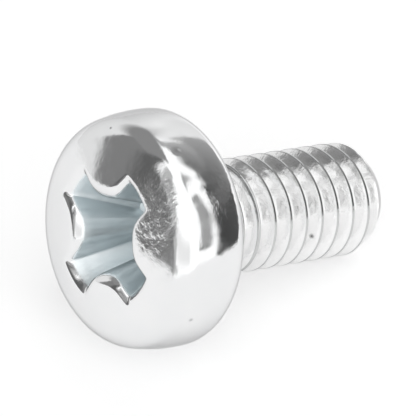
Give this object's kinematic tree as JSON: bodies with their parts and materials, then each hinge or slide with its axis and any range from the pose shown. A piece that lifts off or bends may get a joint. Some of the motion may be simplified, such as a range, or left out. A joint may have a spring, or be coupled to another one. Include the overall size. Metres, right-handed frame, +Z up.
{
  "type": "machine screw",
  "caption": "Pan head machine screw with a cross recess, a shallow crown and a metric coarse thread, lying at rest.",
  "frame": {"origin": "centre of the bearing face under the head, on the screw's axis", "axes": "+Z up with the screw lying at rest on its head's rim and its last thread; +X is the level direction from the head towards the tip, and the axis falls towards the tip"},
  "size_m": [0.0116, 0.008, 0.008],
  "materials": {
    "zinc_plated_steel": "bright zinc plate on carbon steel, with fine handling marks"
  },
  "bodies": {
    "root": {"screw": "zinc_plated_steel"}
  },
  "joints": []
}
